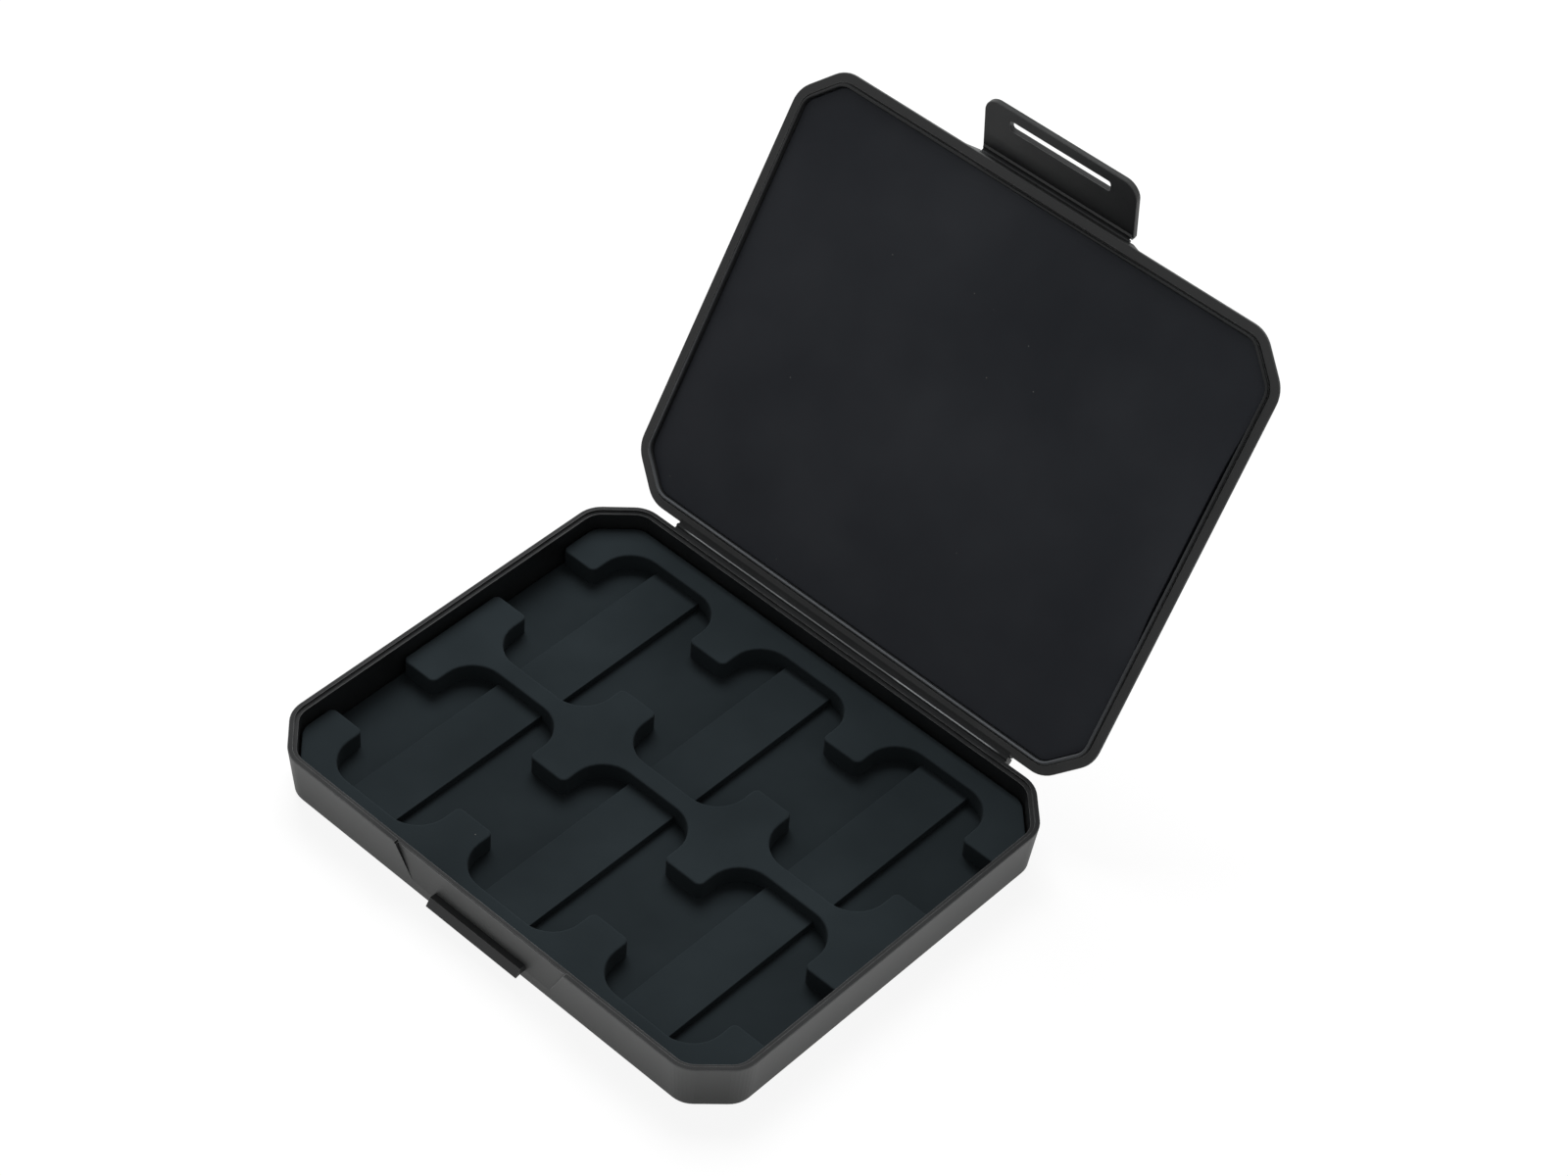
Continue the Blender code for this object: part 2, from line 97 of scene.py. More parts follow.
def rounded(corners, radii, inset=0.0, steps=6):
    """Closed anticlockwise outline: each corner moves along its bisector by inset over
    the sine of half its angle, and becomes an arc about a centre radius over that sine
    from the corner, with radius minus inset where convex and plus inset where hollow."""
    before = np.roll(corners, 1, axis=0) - corners
    after = np.roll(corners, -1, axis=0) - corners
    before /= np.linalg.norm(before, axis=1, keepdims=True)
    after /= np.linalg.norm(after, axis=1, keepdims=True)
    turn = -before[:, 0] * after[:, 1] + before[:, 1] * after[:, 0]
    convex = np.where(turn > 0, 1.0, -1.0)[:, None]
    bisector = before + after
    bisector /= np.linalg.norm(bisector, axis=1, keepdims=True)
    half = np.arccos(np.clip((before * bisector).sum(1, keepdims=True), -1, 1))
    radius = np.broadcast_to(radii, len(corners))[:, None] - convex * inset
    radius = np.maximum(radius, LEAST_RADIUS)
    moved = corners + bisector * convex * inset / np.sin(half)
    center = moved + bisector * radius / np.sin(half)
    start = moved + before * radius / np.tan(half) - center
    sweep = convex * (np.pi - 2 * half)
    angle = sweep[:, None] * np.linspace(0, 1, steps + 1)[None, :, None]
    x, y = start[:, None, :1], start[:, None, 1:]
    c, s = np.cos(angle), np.sin(angle)
    spin = np.concatenate([x * c - y * s, x * s + y * c], axis=2)
    return (center[:, None, :] + spin).reshape(-1, 2)


print("outline points:", len(rounded(octagon_corners(0), CORNER_RADIUS)))

# %% [markdown]
# ## From outlines to closed skins
#
# Every soft piece here is a skin through a stack of outlines, closed by one flat face
# at each end. The stack is a plain array, rows by points by three, so the faces are
# one sum over the row and column numbers.

# %% Closed skins from stacks of outlines
SHARP = np.radians(40)
TOP_START = 1.6


def skin(name, grid, ring=False):
    """Closed solid from a (rows, columns, 3) array: quads join point j of a row to point
    j + 1 and to the next row, and the last column joins the first. A face caps each end,
    or in a ring the last row joins the first one too."""
    rows, columns = grid.shape[:2]
    row = np.arange(rows if ring else rows - 1)[:, None]
    low, high = row * columns, (row + 1) % rows * columns
    here, beside = np.arange(columns)[None], np.roll(np.arange(columns), -1)[None]
    quads = np.stack([low + here, low + beside, high + beside, high + here], axis=-1)
    caps = []
    if not ring:
        caps = [list(range(columns))[::-1], list(range((rows - 1) * columns, rows * columns))]
    mesh = bpy.data.meshes.new(name)
    mesh.from_pydata(grid.reshape(-1, 3), [], quads.reshape(-1, 4).tolist() + caps)
    shell = bmesh.new()
    shell.from_mesh(mesh)
    bmesh.ops.recalc_face_normals(shell, faces=shell.faces)
    shell.to_mesh(mesh)
    shell.free()
    mesh.shade_smooth()
    mesh.set_sharp_from_angle(angle=SHARP)
    piece = bpy.data.objects.new(name, mesh)
    bpy.context.scene.collection.objects.link(piece)
    return piece


def edge_round(radius, steps=4):
    """A quarter circle as (inset, drop) pairs: radius times one minus the cosine, and
    radius times one minus the sine, from the wall to the flat top."""
    angle = np.linspace(0, np.pi / 2, steps + 1)
    return radius * (1 - np.cos(angle)), radius * (1 - np.sin(angle))


def at_height(flat, z):
    """An outline's points, all at the height z."""
    return np.column_stack([flat, np.full(len(flat), z)])


def block(name, corners, radii, low, high, top_round, steps=6):
    """Upright solid over an outline, with a rounded top edge. One more outline, 1.6 times
    the radius in, starts the flat top, so that the rounding's shading doesn't spread."""
    rows = [(0.0, low)] + [(inset, high - drop) for inset, drop in zip(*edge_round(top_round))]
    rows.append((top_round * TOP_START, high))
    grid = [at_height(rounded(corners, radii, inset, steps), z) for inset, z in rows]
    return skin(name, np.array(grid))


# %% [markdown]
# ## The soft tray
#
# On the real case this is one slab of dark, close-celled foam or soft rubber, pressed
# into the base. Two channels run across it, and each crosses three pockets, which leaves
# three comb-shaped strips standing on a thin floor, with a flat rib down each pocket.
# It could be a block with pockets cut out by Booleans, but then the worn, slightly
# rounded top edges would be missing. Strips drawn as outlines get that edge for free.

# %% Sizes of the soft tray
tray_low, tray_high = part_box("filter_tray")
TRAY_INSET = CASE_LENGTH / 2 - tray_high.x
POCKET_FLOOR = 3.2 * mm
RIB_TOP = 4.6 * mm
POCKET_HALF = (12.1 * mm, 18.25 * mm)
POCKET_CORNER = 6.4 * mm
POCKET_PITCH = 32.8 * mm
ROW_MIDDLES = (-20.6 * mm, 19.6 * mm)
CHANNEL_HALF = 8.4 * mm
TOOTH_CORNER = 1.2 * mm
TRAY_EDGE = 0.35 * mm
FLOOR_EDGE = 0.05 * mm
STRIP_SINK = 0.3 * mm
RIB_HALF = 5.4 * mm
RIB_CORNER = 0.1 * mm
RIB_EDGE = 0.12 * mm
RIB_TUCK = 0.6 * mm
COLUMNS = (-1, 0, 1)
print("tray inset mm:", round(TRAY_INSET / mm, 3), "top mm:", round(tray_high.z / mm, 3))

# %% Comb edges of the strips


def comb(middle, side):
    """Edge of a strip beside a row: along the channel's side, and out round each pocket
    to its end. Side is -1 for the channel's front edge and 1 for its back edge. Returns
    corners from left to right and their radii."""
    corners, radii = [], []
    for column in COLUMNS:
        pocket = column * POCKET_PITCH
        for x in (pocket - POCKET_HALF[0], pocket + POCKET_HALF[0]):
            near, far = (x, middle + side * CHANNEL_HALF), (x, middle + side * POCKET_HALF[1])
            leaving = x < pocket
            corners += [near, far] if leaving else [far, near]
            radii += [TOOTH_CORNER, POCKET_CORNER] if leaving else [POCKET_CORNER, TOOTH_CORNER]
    return np.array(corners), np.array(radii)


tray_corners = octagon_corners(TRAY_INSET)
tray_radius = CORNER_RADIUS - TRAY_INSET
right_x = tray_high.x
front_comb, front_radii = comb(ROW_MIDDLES[0], -1)
inner_low, inner_low_radii = comb(ROW_MIDDLES[0], 1)
inner_high, inner_high_radii = comb(ROW_MIDDLES[1], -1)
back_comb, back_radii = comb(ROW_MIDDLES[1], 1)
print("corners beside a row of pockets:", len(front_comb))


def end_points(middle, side):
    """The two points where a channel's side meets the tray's left and right ends."""
    y = middle + side * CHANNEL_HALF
    return np.array([[-right_x, y]]), np.array([[right_x, y]])


# %% Outlines of the three strips
tip = np.array([TOOTH_CORNER])
octagon_radii = np.full(4, tray_radius)

left, right = end_points(ROW_MIDDLES[0], -1)
front_outline = np.concatenate([tray_corners[4:8], right, front_comb[::-1], left])
front_strip_radii = np.concatenate([octagon_radii, tip, front_radii[::-1], tip])
left, right = end_points(ROW_MIDDLES[1], 1)
back_outline = np.concatenate([tray_corners[0:4], left, back_comb, right])
back_strip_radii = np.concatenate([octagon_radii, tip, back_radii, tip])
left_low, right_low = end_points(ROW_MIDDLES[0], 1)
left_high, right_high = end_points(ROW_MIDDLES[1], -1)
middle_outline = np.concatenate([
    left_low, inner_low, right_low, right_high, inner_high[::-1], left_high,
])
middle_radii = np.concatenate([tip, inner_low_radii, tip, tip, inner_high_radii[::-1], tip])
print("strip corners:", len(front_outline), len(middle_outline), len(back_outline))

# %% [markdown]
# Strips and ribs start a little under the top of the floor, and each rib runs a little
# way into the strips at both ends. Solids that overlap slightly look like one slab,
# while solids that only touch can leak a line of light.

# %% The three strips, the floor and the ribs
strip_low = POCKET_FLOOR - STRIP_SINK
tray_pieces = []
for name, shape, radii in (
    ("tray_front_strip", front_outline, front_strip_radii),
    ("tray_middle_strip", middle_outline, middle_radii),
    ("tray_back_strip", back_outline, back_strip_radii),
):
    tray_pieces.append(block(name, shape, radii, strip_low, tray_high.z, TRAY_EDGE, steps=8))
tray_floor = block("tray_floor", tray_corners, tray_radius, tray_low.z, POCKET_FLOOR, FLOOR_EDGE)
tray_pieces.append(tray_floor)
rib_corners = np.array([[1, 1], [-1, 1], [-1, -1], [1, -1]]) * [RIB_HALF, POCKET_HALF[1] + RIB_TUCK]
for row, middle in zip(("front", "back"), ROW_MIDDLES):
    for column in COLUMNS:
        corners = rib_corners + [column * POCKET_PITCH, middle]
        name = "rib_%s_%d" % (row, column + 2)
        rib = block(name, corners, RIB_CORNER, strip_low, RIB_TOP, RIB_EDGE, steps=2)
        tray_pieces.append(rib)
for piece in tray_pieces:
    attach(piece, "base")
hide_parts("filter_tray")
print("tray pieces:", len(tray_pieces))

# %% [markdown]
# ## The lid's liner
#
# The liner is a thin flat sheet of the same soft stuff, bonded into the lid's recess.
# It is bonded a little unevenly: the middle waves by hundredths of a millimetre, and
# along the right side its edge has let go, stands up slightly and has drawn back, which
# leaves a dark gap beside the lip. A plain slab would miss all that, so the sheet is a
# stack of outlines that shrink towards its middle, and each point is moved by a smooth
# function of where it is.

# %% Turning a shut lid's shape to where it lies open
hinge = joints["lid_hinge"]
AXIS = np.array(hinge["pos_m"])
OPEN_TURN = np.radians(hinge["range_deg"][0])
HALF_PARTING = 0.15 * mm
BASE_HEIGHT = AXIS[2] - HALF_PARTING
LID_PLANE = AXIS[2] + HALF_PARTING


def open_lid(points):
    """Turns points about the hinge line by the open angle: the offset from the axis keeps
    its length, and its angle in the YZ plane falls by 120.5 degrees."""
    y, z = points[..., 1] - AXIS[1], points[..., 2] - AXIS[2]
    c, s = np.cos(OPEN_TURN), np.sin(OPEN_TURN)
    return np.stack([points[..., 0], AXIS[1] + y * c - z * s, AXIS[2] + y * s + z * c], axis=-1)


print("open turn in degrees:", hinge["range_deg"][0], "lid plane mm:", round(LID_PLANE / mm, 2))

# %% How the liner's points are moved
LINER_INSET = 2.72 * mm
LINER_FACE = LID_PLANE + 0.28 * mm
LINER_THICKNESS = 1.2 * mm
LINER_EDGE = 0.14 * mm
WAVE_HEIGHT, WAVE_X, WAVE_Y = 0.03 * mm, 17 * mm, 13 * mm
LIFT = 0.32 * mm
DRAWN_BACK = 0.52 * mm
LOOSE_FROM, LOOSE_REACH = 46 * mm, 6 * mm
LOOSE_FRONT, LOOSE_BACK, LOOSE_FADE = -25 * mm, 13 * mm, 2 * mm


def soft_step(distance, width):
    """Rises from 0 to 1 round zero distance: one over one plus e to minus distance / width."""
    return 1 / (1 + np.exp(-distance / width))


def liner_wave(x, y):
    """Height of the liner's face over its plane: a product of two slow sines, 0.03 mm high."""
    return WAVE_HEIGHT * np.sin(x / WAVE_X + 0.7) * np.sin(y / WAVE_Y + 0.4)


def let_go(x, y):
    """How far the bond has let go, 0 to 1: the square of the way over the last 6 mm before
    x = 52 mm, times two soft steps that fade it out beyond y = -25 and y = 13 mm."""
    inwards = np.clip((x - LOOSE_FROM) / LOOSE_REACH, 0, 1) ** 2
    return inwards * soft_step(y - LOOSE_FRONT, LOOSE_FADE) * soft_step(LOOSE_BACK - y, LOOSE_FADE)


print("most that the edge lifts mm:", round(LIFT * float(let_go(52 * mm, -6 * mm)) / mm, 2))

# %% [markdown]
# An outline has points only on its rounded corners. That is all a straight wall needs,
# but a straight side without points can't bend. So the sides get a point every 1.5 mm,
# at the same places in every outline of the stack.

# %% Points along straight sides
LINER_SPACING = 1.5 * mm


def lengths_along(points):
    """How far along a line each of its points lies: the running sum of its steps."""
    steps = np.linalg.norm(np.diff(points, axis=0), axis=1)
    return np.concatenate([[0], np.cumsum(steps)])


def between(points, at, places):
    """Pairs at the given places, straight from one point to the next, where point i of the
    line stands at place at[i]."""
    return np.column_stack([np.interp(places, at, points[:, axis]) for axis in (0, 1)])


def stations(outline, spacing):
    """Places along a closed outline, counted in its points: every point, and one place for
    each spacing of length. Rounding lets those that fall together become one."""
    length = lengths_along(np.concatenate([outline, outline[:1]]))
    even = np.interp(np.arange(0, length[-1], spacing), length, np.arange(len(length)))
    return np.unique(np.concatenate([np.arange(len(outline)), even.round(6)]))


def filled(outline, places):
    """A closed outline's points at the given places, counted in its own points."""
    closed = np.concatenate([outline, outline[:1]])
    return between(closed, np.arange(len(closed)), places)


liner_corners = octagon_corners(LINER_INSET)
liner_radius = CORNER_RADIUS - LINER_INSET
places = stations(rounded(liner_corners, liner_radius), LINER_SPACING)
print("points round the liner:", len(places))

# %% The liner sheet
BACK_CLEARANCE = 0.02 * mm
INNER_ROWS, FIRST_SHARE, LAST_SHARE = 40, 0.02, 0.985
inset, drop = edge_round(LINER_EDGE)
rows = [(0.0, LINER_THICKNESS - BACK_CLEARANCE)] + list(zip(inset, drop))
grid = []
for inset, depth in rows:
    grid.append(at_height(filled(rounded(liner_corners, liner_radius, inset), places), depth))
rim = grid[-1]
for share in np.linspace(FIRST_SHARE, LAST_SHARE, INNER_ROWS):
    grid.append(rim * np.array([1 - share, 1 - share, 1.0]))
grid = np.array(grid)
x, y = grid[..., 0].copy(), grid[..., 1]
raised = (liner_wave(x, y) + LIFT * let_go(x, y)) * (grid[..., 2] < LINER_THICKNESS / 2)
grid[..., 0] -= DRAWN_BACK * let_go(x, y)
grid[..., 2] += LINER_FACE - raised
liner = skin("lid_liner_sheet", open_lid(grid))
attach(liner, "lid")
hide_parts("lid_liner")
print("liner faces:", len(liner.data.polygons))

# %% [markdown]
# The thin lip that frames the liner has a rounded crest on the real case, and that crest
# is what catches the light along the fold. The imported lip is square, so a slim ring of
# oval section is laid over it, made of the same outlines as the liner. Near the fold the
# crest gets a painted highlight, stored as an attribute that rises over the last 13 mm.

# %% The rounded crest of the lip
CREST_INSET = 2.30 * mm
CREST_HALF_WIDTH = 0.28 * mm
CREST_MIDDLE = LID_PLANE - 0.25 * mm
CREST_HALF_HEIGHT = 0.32 * mm
CREST_POINTS = 16
# Where the painted highlight on the crest starts, and how far it takes to rise.
CREST_LIT_FROM, CREST_LIT_REACH = 27 * mm, 13 * mm


def store(piece, name, values):
    """Keeps a value for each point of a piece, which its finish reads by that name."""
    piece.data.attributes.new(name, "FLOAT", "POINT").data.foreach_set("value", values)


grid = []
for angle in np.linspace(0, 2 * np.pi, CREST_POINTS, endpoint=False):
    inset = CREST_INSET + CREST_HALF_WIDTH * np.cos(angle)
    height = CREST_MIDDLE + CREST_HALF_HEIGHT * np.sin(angle)
    grid.append(at_height(rounded(octagon_corners(inset), CORNER_RADIUS - inset), height))
grid = np.array(grid)
lip_crest = skin("lip_crest", open_lid(grid), ring=True)
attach(lip_crest, "lid")
# Painted highlight on the crest near the fold, kept for each point.
store(lip_crest, "crest_highlight", np.clip((grid[..., 1].ravel() - CREST_LIT_FROM) / CREST_LIT_REACH, 0, 1))
print("lip crest faces:", len(lip_crest.data.polygons))

# %% [markdown]
# ## The two folds
#
# Base, lid and latch are one moulding, and where they fold the plastic thins to a web.
# The imported model cuts them apart there, so it needs the webs back: thin strips that
# start on one side, ride over the small bead on the fold line, and end on the other
# side. Bent again and again, the crest of the long web has turned pale. That mark
# follows the bend, so it is an attribute of the web's points, worked out from how far
# each lies from the crest.

# %% Strips that follow a section
WEB_THICKNESS = 0.05 * mm
WEB_CLEARANCE = 0.015 * mm


def turned(points, angle):
    """Turns (y, z) pairs about the origin: y cos - z sin and y sin + z cos."""
    c, s = np.cos(angle), np.sin(angle)
    return np.array(points) @ np.array([[c, s], [-s, c]])


def on_circle(radius, start, end, count):
    """Points on a circle about the fold line, angles in degrees."""
    angle = np.radians(np.linspace(start, end, count))
    return radius * np.column_stack([np.cos(angle), np.sin(angle)])


def even_line(points, count):
    """Line through (y, z) points, resampled to equal steps along its length and smoothed
    once by giving each inner point half its own place and a quarter of each neighbour's."""
    along = lengths_along(points)
    line = between(points, along, np.linspace(0, along[-1], count))
    line[1:-1] = (line[:-2] + 2 * line[1:-1] + line[2:]) / 4
    return line


def strip_skin(name, line, length, thickness, segments):
    """Thin strip along X: the line and its copy moved along its own normals form a closed
    section, which is repeated along the length."""
    run = np.gradient(line, axis=0)
    normal = np.column_stack([-run[:, 1], run[:, 0]]) / np.linalg.norm(run, axis=1, keepdims=True)
    section = np.concatenate([line + normal * thickness / 2, (line - normal * thickness / 2)[::-1]])
    x = np.linspace(-length / 2, length / 2, segments + 1)
    grid = np.stack([np.column_stack([np.full(len(section), a), section]) for a in x])
    return skin(name, grid)


# %% The long web between base and lid
LEAF_GAP = 0.2 * mm
BEAD = 0.35 * mm
HINGE_LENGTH = 80.2 * mm
HINGE_POINTS, HINGE_SEGMENTS = 61, 160
BASE_RUN = np.array([[-1.0, 0], [-0.42, 0]]) * mm
LID_RUN = np.array([[-0.62, 0], [-1.3, 0]]) * mm
CREST_START, CREST_END = 195, 80
proud = WEB_THICKNESS / 2 + WEB_CLEARANCE
base_run = BASE_RUN + [0, proud - LEAF_GAP]
lid_run = turned(LID_RUN + [0, LEAF_GAP - proud], OPEN_TURN)
crest = on_circle(BEAD + proud, CREST_START, CREST_END, 9)
hinge_line = even_line(np.concatenate([base_run, crest, lid_run]), HINGE_POINTS) + AXIS[1:]
hinge_web = strip_skin("hinge_web", hinge_line, HINGE_LENGTH, WEB_THICKNESS, HINGE_SEGMENTS)
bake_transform(hinge_web)
print("web width mm:", round(float(lengths_along(hinge_line)[-1]) / mm, 2))

# %% The pale mark on the crest
MARK_WIDTH = 0.10 * mm
MARK_ANGLE = np.radians(130)
MARK_END, MARK_FADE = 38.5 * mm, 2.5 * mm
CREASED_FROM = 13.6 * mm


def bell(distance, width):
    """Bell curve, 1 in its middle: e to minus the square of distance over width."""
    return np.exp(-(distance / width) ** 2)


def stress(points):
    """How pale each point is: a bell curve across the crest, times a fade over the last
    2.5 mm before x = 38.5 mm on either side, times a level along the fold. The level falls
    by 0.004 per millimetre from left to right, ripples a little, and swells at the left
    end. At x = 13.6 mm it steps up by a half, with a small peak behind the step, because
    the right end is creased the most."""
    middle = AXIS[1:] + (BEAD + proud) * np.array([np.cos(MARK_ANGLE), np.sin(MARK_ANGLE)])
    across = np.linalg.norm(points[:, 1:] - middle, axis=1)
    x = points[:, 0]
    fade = np.clip((MARK_END - np.abs(x)) / MARK_FADE, 0, 1)
    level = 0.42 - 0.004 * x / mm + 0.03 * np.cos(x / (2.1 * mm))
    level += 0.16 * bell(x + 35 * mm, 6 * mm)
    creased = soft_step(x - CREASED_FROM, 0.4 * mm)
    level += creased * (0.5 + 0.18 * bell(x - 15 * mm, 2.5 * mm))
    return bell(across, MARK_WIDTH) * fade * level


def points_of(piece):
    """All vertex places of a piece as an array."""
    flat = np.empty(len(piece.data.vertices) * 3)
    piece.data.vertices.foreach_get("co", flat)
    return flat.reshape(-1, 3)


paleness = stress(points_of(hinge_web))
store(hinge_web, "stress", paleness)
print("palest point of the fold:", round(float(paleness.max()), 2))

# %% [markdown]
# The latch folds on a web of the same kind, only shorter: it runs from the landing on
# the lid, round a small bead, to the latch's foot. It is paled a little in its middle,
# by a level that depends only on how far across the web a point lies.

# %% The short web between lid and latch
latch_hinge = joints["latch_hinge"]
LATCH_PIVOT = np.array(latch_hinge["pos_m"])
LATCH_TURN = np.radians(latch_hinge["range_deg"][0])
LATCH_WEB_LENGTH = 33.2 * mm
LATCH_WEB_POINTS, LATCH_WEB_SEGMENTS = 24, 40
LATCH_BEAD = 0.3 * mm
LATCH_CREST_START, LATCH_CREST_END = 262, 228
PAD_FACE = 0.15 * mm
PALE_PLACES, PALE_LEVELS = (0, 0.4, 0.5, 0.6, 0.75), (0.05, 0.05, 0.14, 0.02, 0.0)
pad_run = np.array([[PAD_FACE - proud, -1.0 * mm], [PAD_FACE - proud, -0.45 * mm]])
foot_run = turned([[proud - PAD_FACE, -0.66 * mm], [proud - PAD_FACE, -1.0 * mm]], LATCH_TURN)
crest = on_circle(LATCH_BEAD + proud, LATCH_CREST_START, LATCH_CREST_END, 5)
latch_line = even_line(np.concatenate([pad_run, crest, foot_run]), LATCH_WEB_POINTS)
latch_line = turned(latch_line, OPEN_TURN) + LATCH_PIVOT[1:]
latch_web = strip_skin("latch_web", latch_line, LATCH_WEB_LENGTH, WEB_THICKNESS, LATCH_WEB_SEGMENTS)
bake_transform(latch_web)
pale = np.interp(np.linspace(0, 1, LATCH_WEB_POINTS), PALE_PLACES, PALE_LEVELS)
store(latch_web, "stress", np.tile(np.concatenate([pale, pale[::-1]]), LATCH_WEB_SEGMENTS + 1))
print("latch web width mm:", round(float(lengths_along(latch_line)[-1]) / mm, 2))

# %% [markdown]
# ## Finishes
#
# Everything on this case is nearly black, so the finishes live in how they shine. The
# hard shell is moulded with a fine spark-eroded grain outside, where it is greyer, partly
# for the grain and partly as painted reflection of the white floor, and is left smoother
# and blacker inside. Its outer walls get a painted sheen towards the rim, and its edges a
# painted highlight. The soft tray and liner are matt, slightly bluish, and mottled by
# their cells, with a few specks of dust. Four effects are shared, so each is a node group
# that any material can place with its own values.

# %% Helpers for node trees


def group_with(name, inputs, outputs):
    """New shader group with its sockets: a name, a type and a starting value each."""
    group = bpy.data.node_groups.new(name, "ShaderNodeTree")
    for label, kind, value in inputs:
        socket = group.interface.new_socket(name=label, in_out="INPUT", socket_type=kind)
        if value is not None:
            socket.default_value = value
    for label, kind in outputs:
        group.interface.new_socket(name=label, in_out="OUTPUT", socket_type=kind)
    return group, group.nodes.new("NodeGroupInput"), group.nodes.new("NodeGroupOutput")


def put(tree, kind, **values):
    """Adds a node and sets its settings, or its inputs where the name is an input's."""
    node = tree.nodes.new(kind)
    for key, value in values.items():
        label = key.replace("_", " ")
        if label in node.inputs:
            node.inputs[label].default_value = value
        else:
            setattr(node, key, value)
    return node


def spread(tree, source, low, high, to_low, to_high):
    """Map Range: source from low..high becomes to_low..to_high, clamped."""
    node = put(tree, "ShaderNodeMapRange")
    for socket, value in zip(list(node.inputs)[1:5], (low, high, to_low, to_high)):
        socket.default_value = value
    tree.links.new(source, node.inputs[0])
    return node.outputs[0]


# %% [markdown]
# The grain of a mould is a fine, even roughness, and on a big dark face there is also a
# slow cloudiness. One noise texture does each. A picture of real grain would repeat and
# blur close up, while a noise stays sharp at any distance.

# %% The moulded grain
CLOUD_IN_HEIGHT = 0.3


def grain_group():
    """Fine moulded grain: a height from two noises of unlike size, and a slow cloudiness."""
    group, start, end = group_with(
        "moulded_grain",
        [("Place", "NodeSocketVector", None), ("Grain per Metre", "NodeSocketFloat", 3000.0),
         ("Cloud per Metre", "NodeSocketFloat", 60.0)],
        [("Height", "NodeSocketFloat"), ("Cloud", "NodeSocketFloat")],
    )
    fine = put(group, "ShaderNodeTexNoise", Detail=2.0, Roughness=0.6)
    coarse = put(group, "ShaderNodeTexNoise", Detail=3.0, Roughness=0.5)
    slow = put(group, "ShaderNodeMath", operation="MULTIPLY")
    slow.inputs[1].default_value = CLOUD_IN_HEIGHT
    both = put(group, "ShaderNodeMath", operation="ADD")
    link = group.links.new
    for noise in (fine, coarse):
        link(start.outputs["Place"], noise.inputs["Vector"])
    link(start.outputs["Grain per Metre"], fine.inputs["Scale"])
    link(start.outputs["Cloud per Metre"], coarse.inputs["Scale"])
    link(fine.outputs[0], both.inputs[0])
    link(coarse.outputs[0], slow.inputs[0])
    link(slow.outputs[0], both.inputs[1])
    link(both.outputs[0], end.inputs["Height"])
    link(coarse.outputs[0], end.inputs["Cloud"])
    return group


GRAIN = grain_group()
print("grain sockets:", [item.name for item in GRAIN.interface.items_tree])

# %% [markdown]
# The edges get a painted highlight, paler and glossier than the faces, for the light that
# a slightly rounded edge would catch. A mask for that can come from painted points or
# from a rounded normal, and the imported mesh is too coarse to paint. So the Bevel node
# rounds the normal close to each edge, and the mask is how far it turns.

# %% Painted edge highlight
EDGE_RADIUS = 0.15 * mm
HIGHLIGHT_FROM, HIGHLIGHT_FULL = 0.98, 0.84
LEAST_HIGHLIGHT = 0.45


def edge_highlight_group():
    """Painted edge highlight: the dot product of the rounded and the true normal, from 0.98
    down to 0.84, times a noise that breaks the highlight up but leaves 0.45 of it everywhere."""
    group, start, end = group_with(
        "worn_edges",
        [("Place", "NodeSocketVector", None), ("Breaks per Metre", "NodeSocketFloat", 400.0)],
        [("Mask", "NodeSocketFloat")],
    )
    soft = put(group, "ShaderNodeBevel", samples=6)
    soft.inputs["Radius"].default_value = EDGE_RADIUS
    true = put(group, "ShaderNodeNewGeometry")
    facing = put(group, "ShaderNodeVectorMath", operation="DOT_PRODUCT")
    noise = put(group, "ShaderNodeTexNoise", Detail=2.0)
    product = put(group, "ShaderNodeMath", operation="MULTIPLY")
    link = group.links.new
    link(soft.outputs["Normal"], facing.inputs[0])
    link(true.outputs["True Normal"], facing.inputs[1])
    link(start.outputs["Place"], noise.inputs["Vector"])
    link(start.outputs["Breaks per Metre"], noise.inputs["Scale"])
    edge = spread(group, facing.outputs["Value"], HIGHLIGHT_FROM, HIGHLIGHT_FULL, 0.0, 1.0)
    broken = spread(group, noise.outputs[0], 0.3, 0.6, LEAST_HIGHLIGHT, 1.0)
    link(edge, product.inputs[0])
    link(broken, product.inputs[1])
    link(product.outputs[0], end.inputs["Mask"])
    return group


EDGE_HIGHLIGHT = edge_highlight_group()
print("edge sockets:", [item.name for item in EDGE_HIGHLIGHT.interface.items_tree])

# %% [markdown]
# Base and lid are bowls: the same mesh has a smooth inside and a grained outside. The
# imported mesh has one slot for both, so the finish has to tell them apart itself. A face
# of the outside looks away from the middle of the bowl's mouth, and one of the inside
# looks towards it or up out of it.

# %% The outer side of a moulding
SIDEWAYS_SHARE = 0.1
OUTSIDE_FROM, OUTSIDE_FULL = 0.5 * mm, 3 * mm


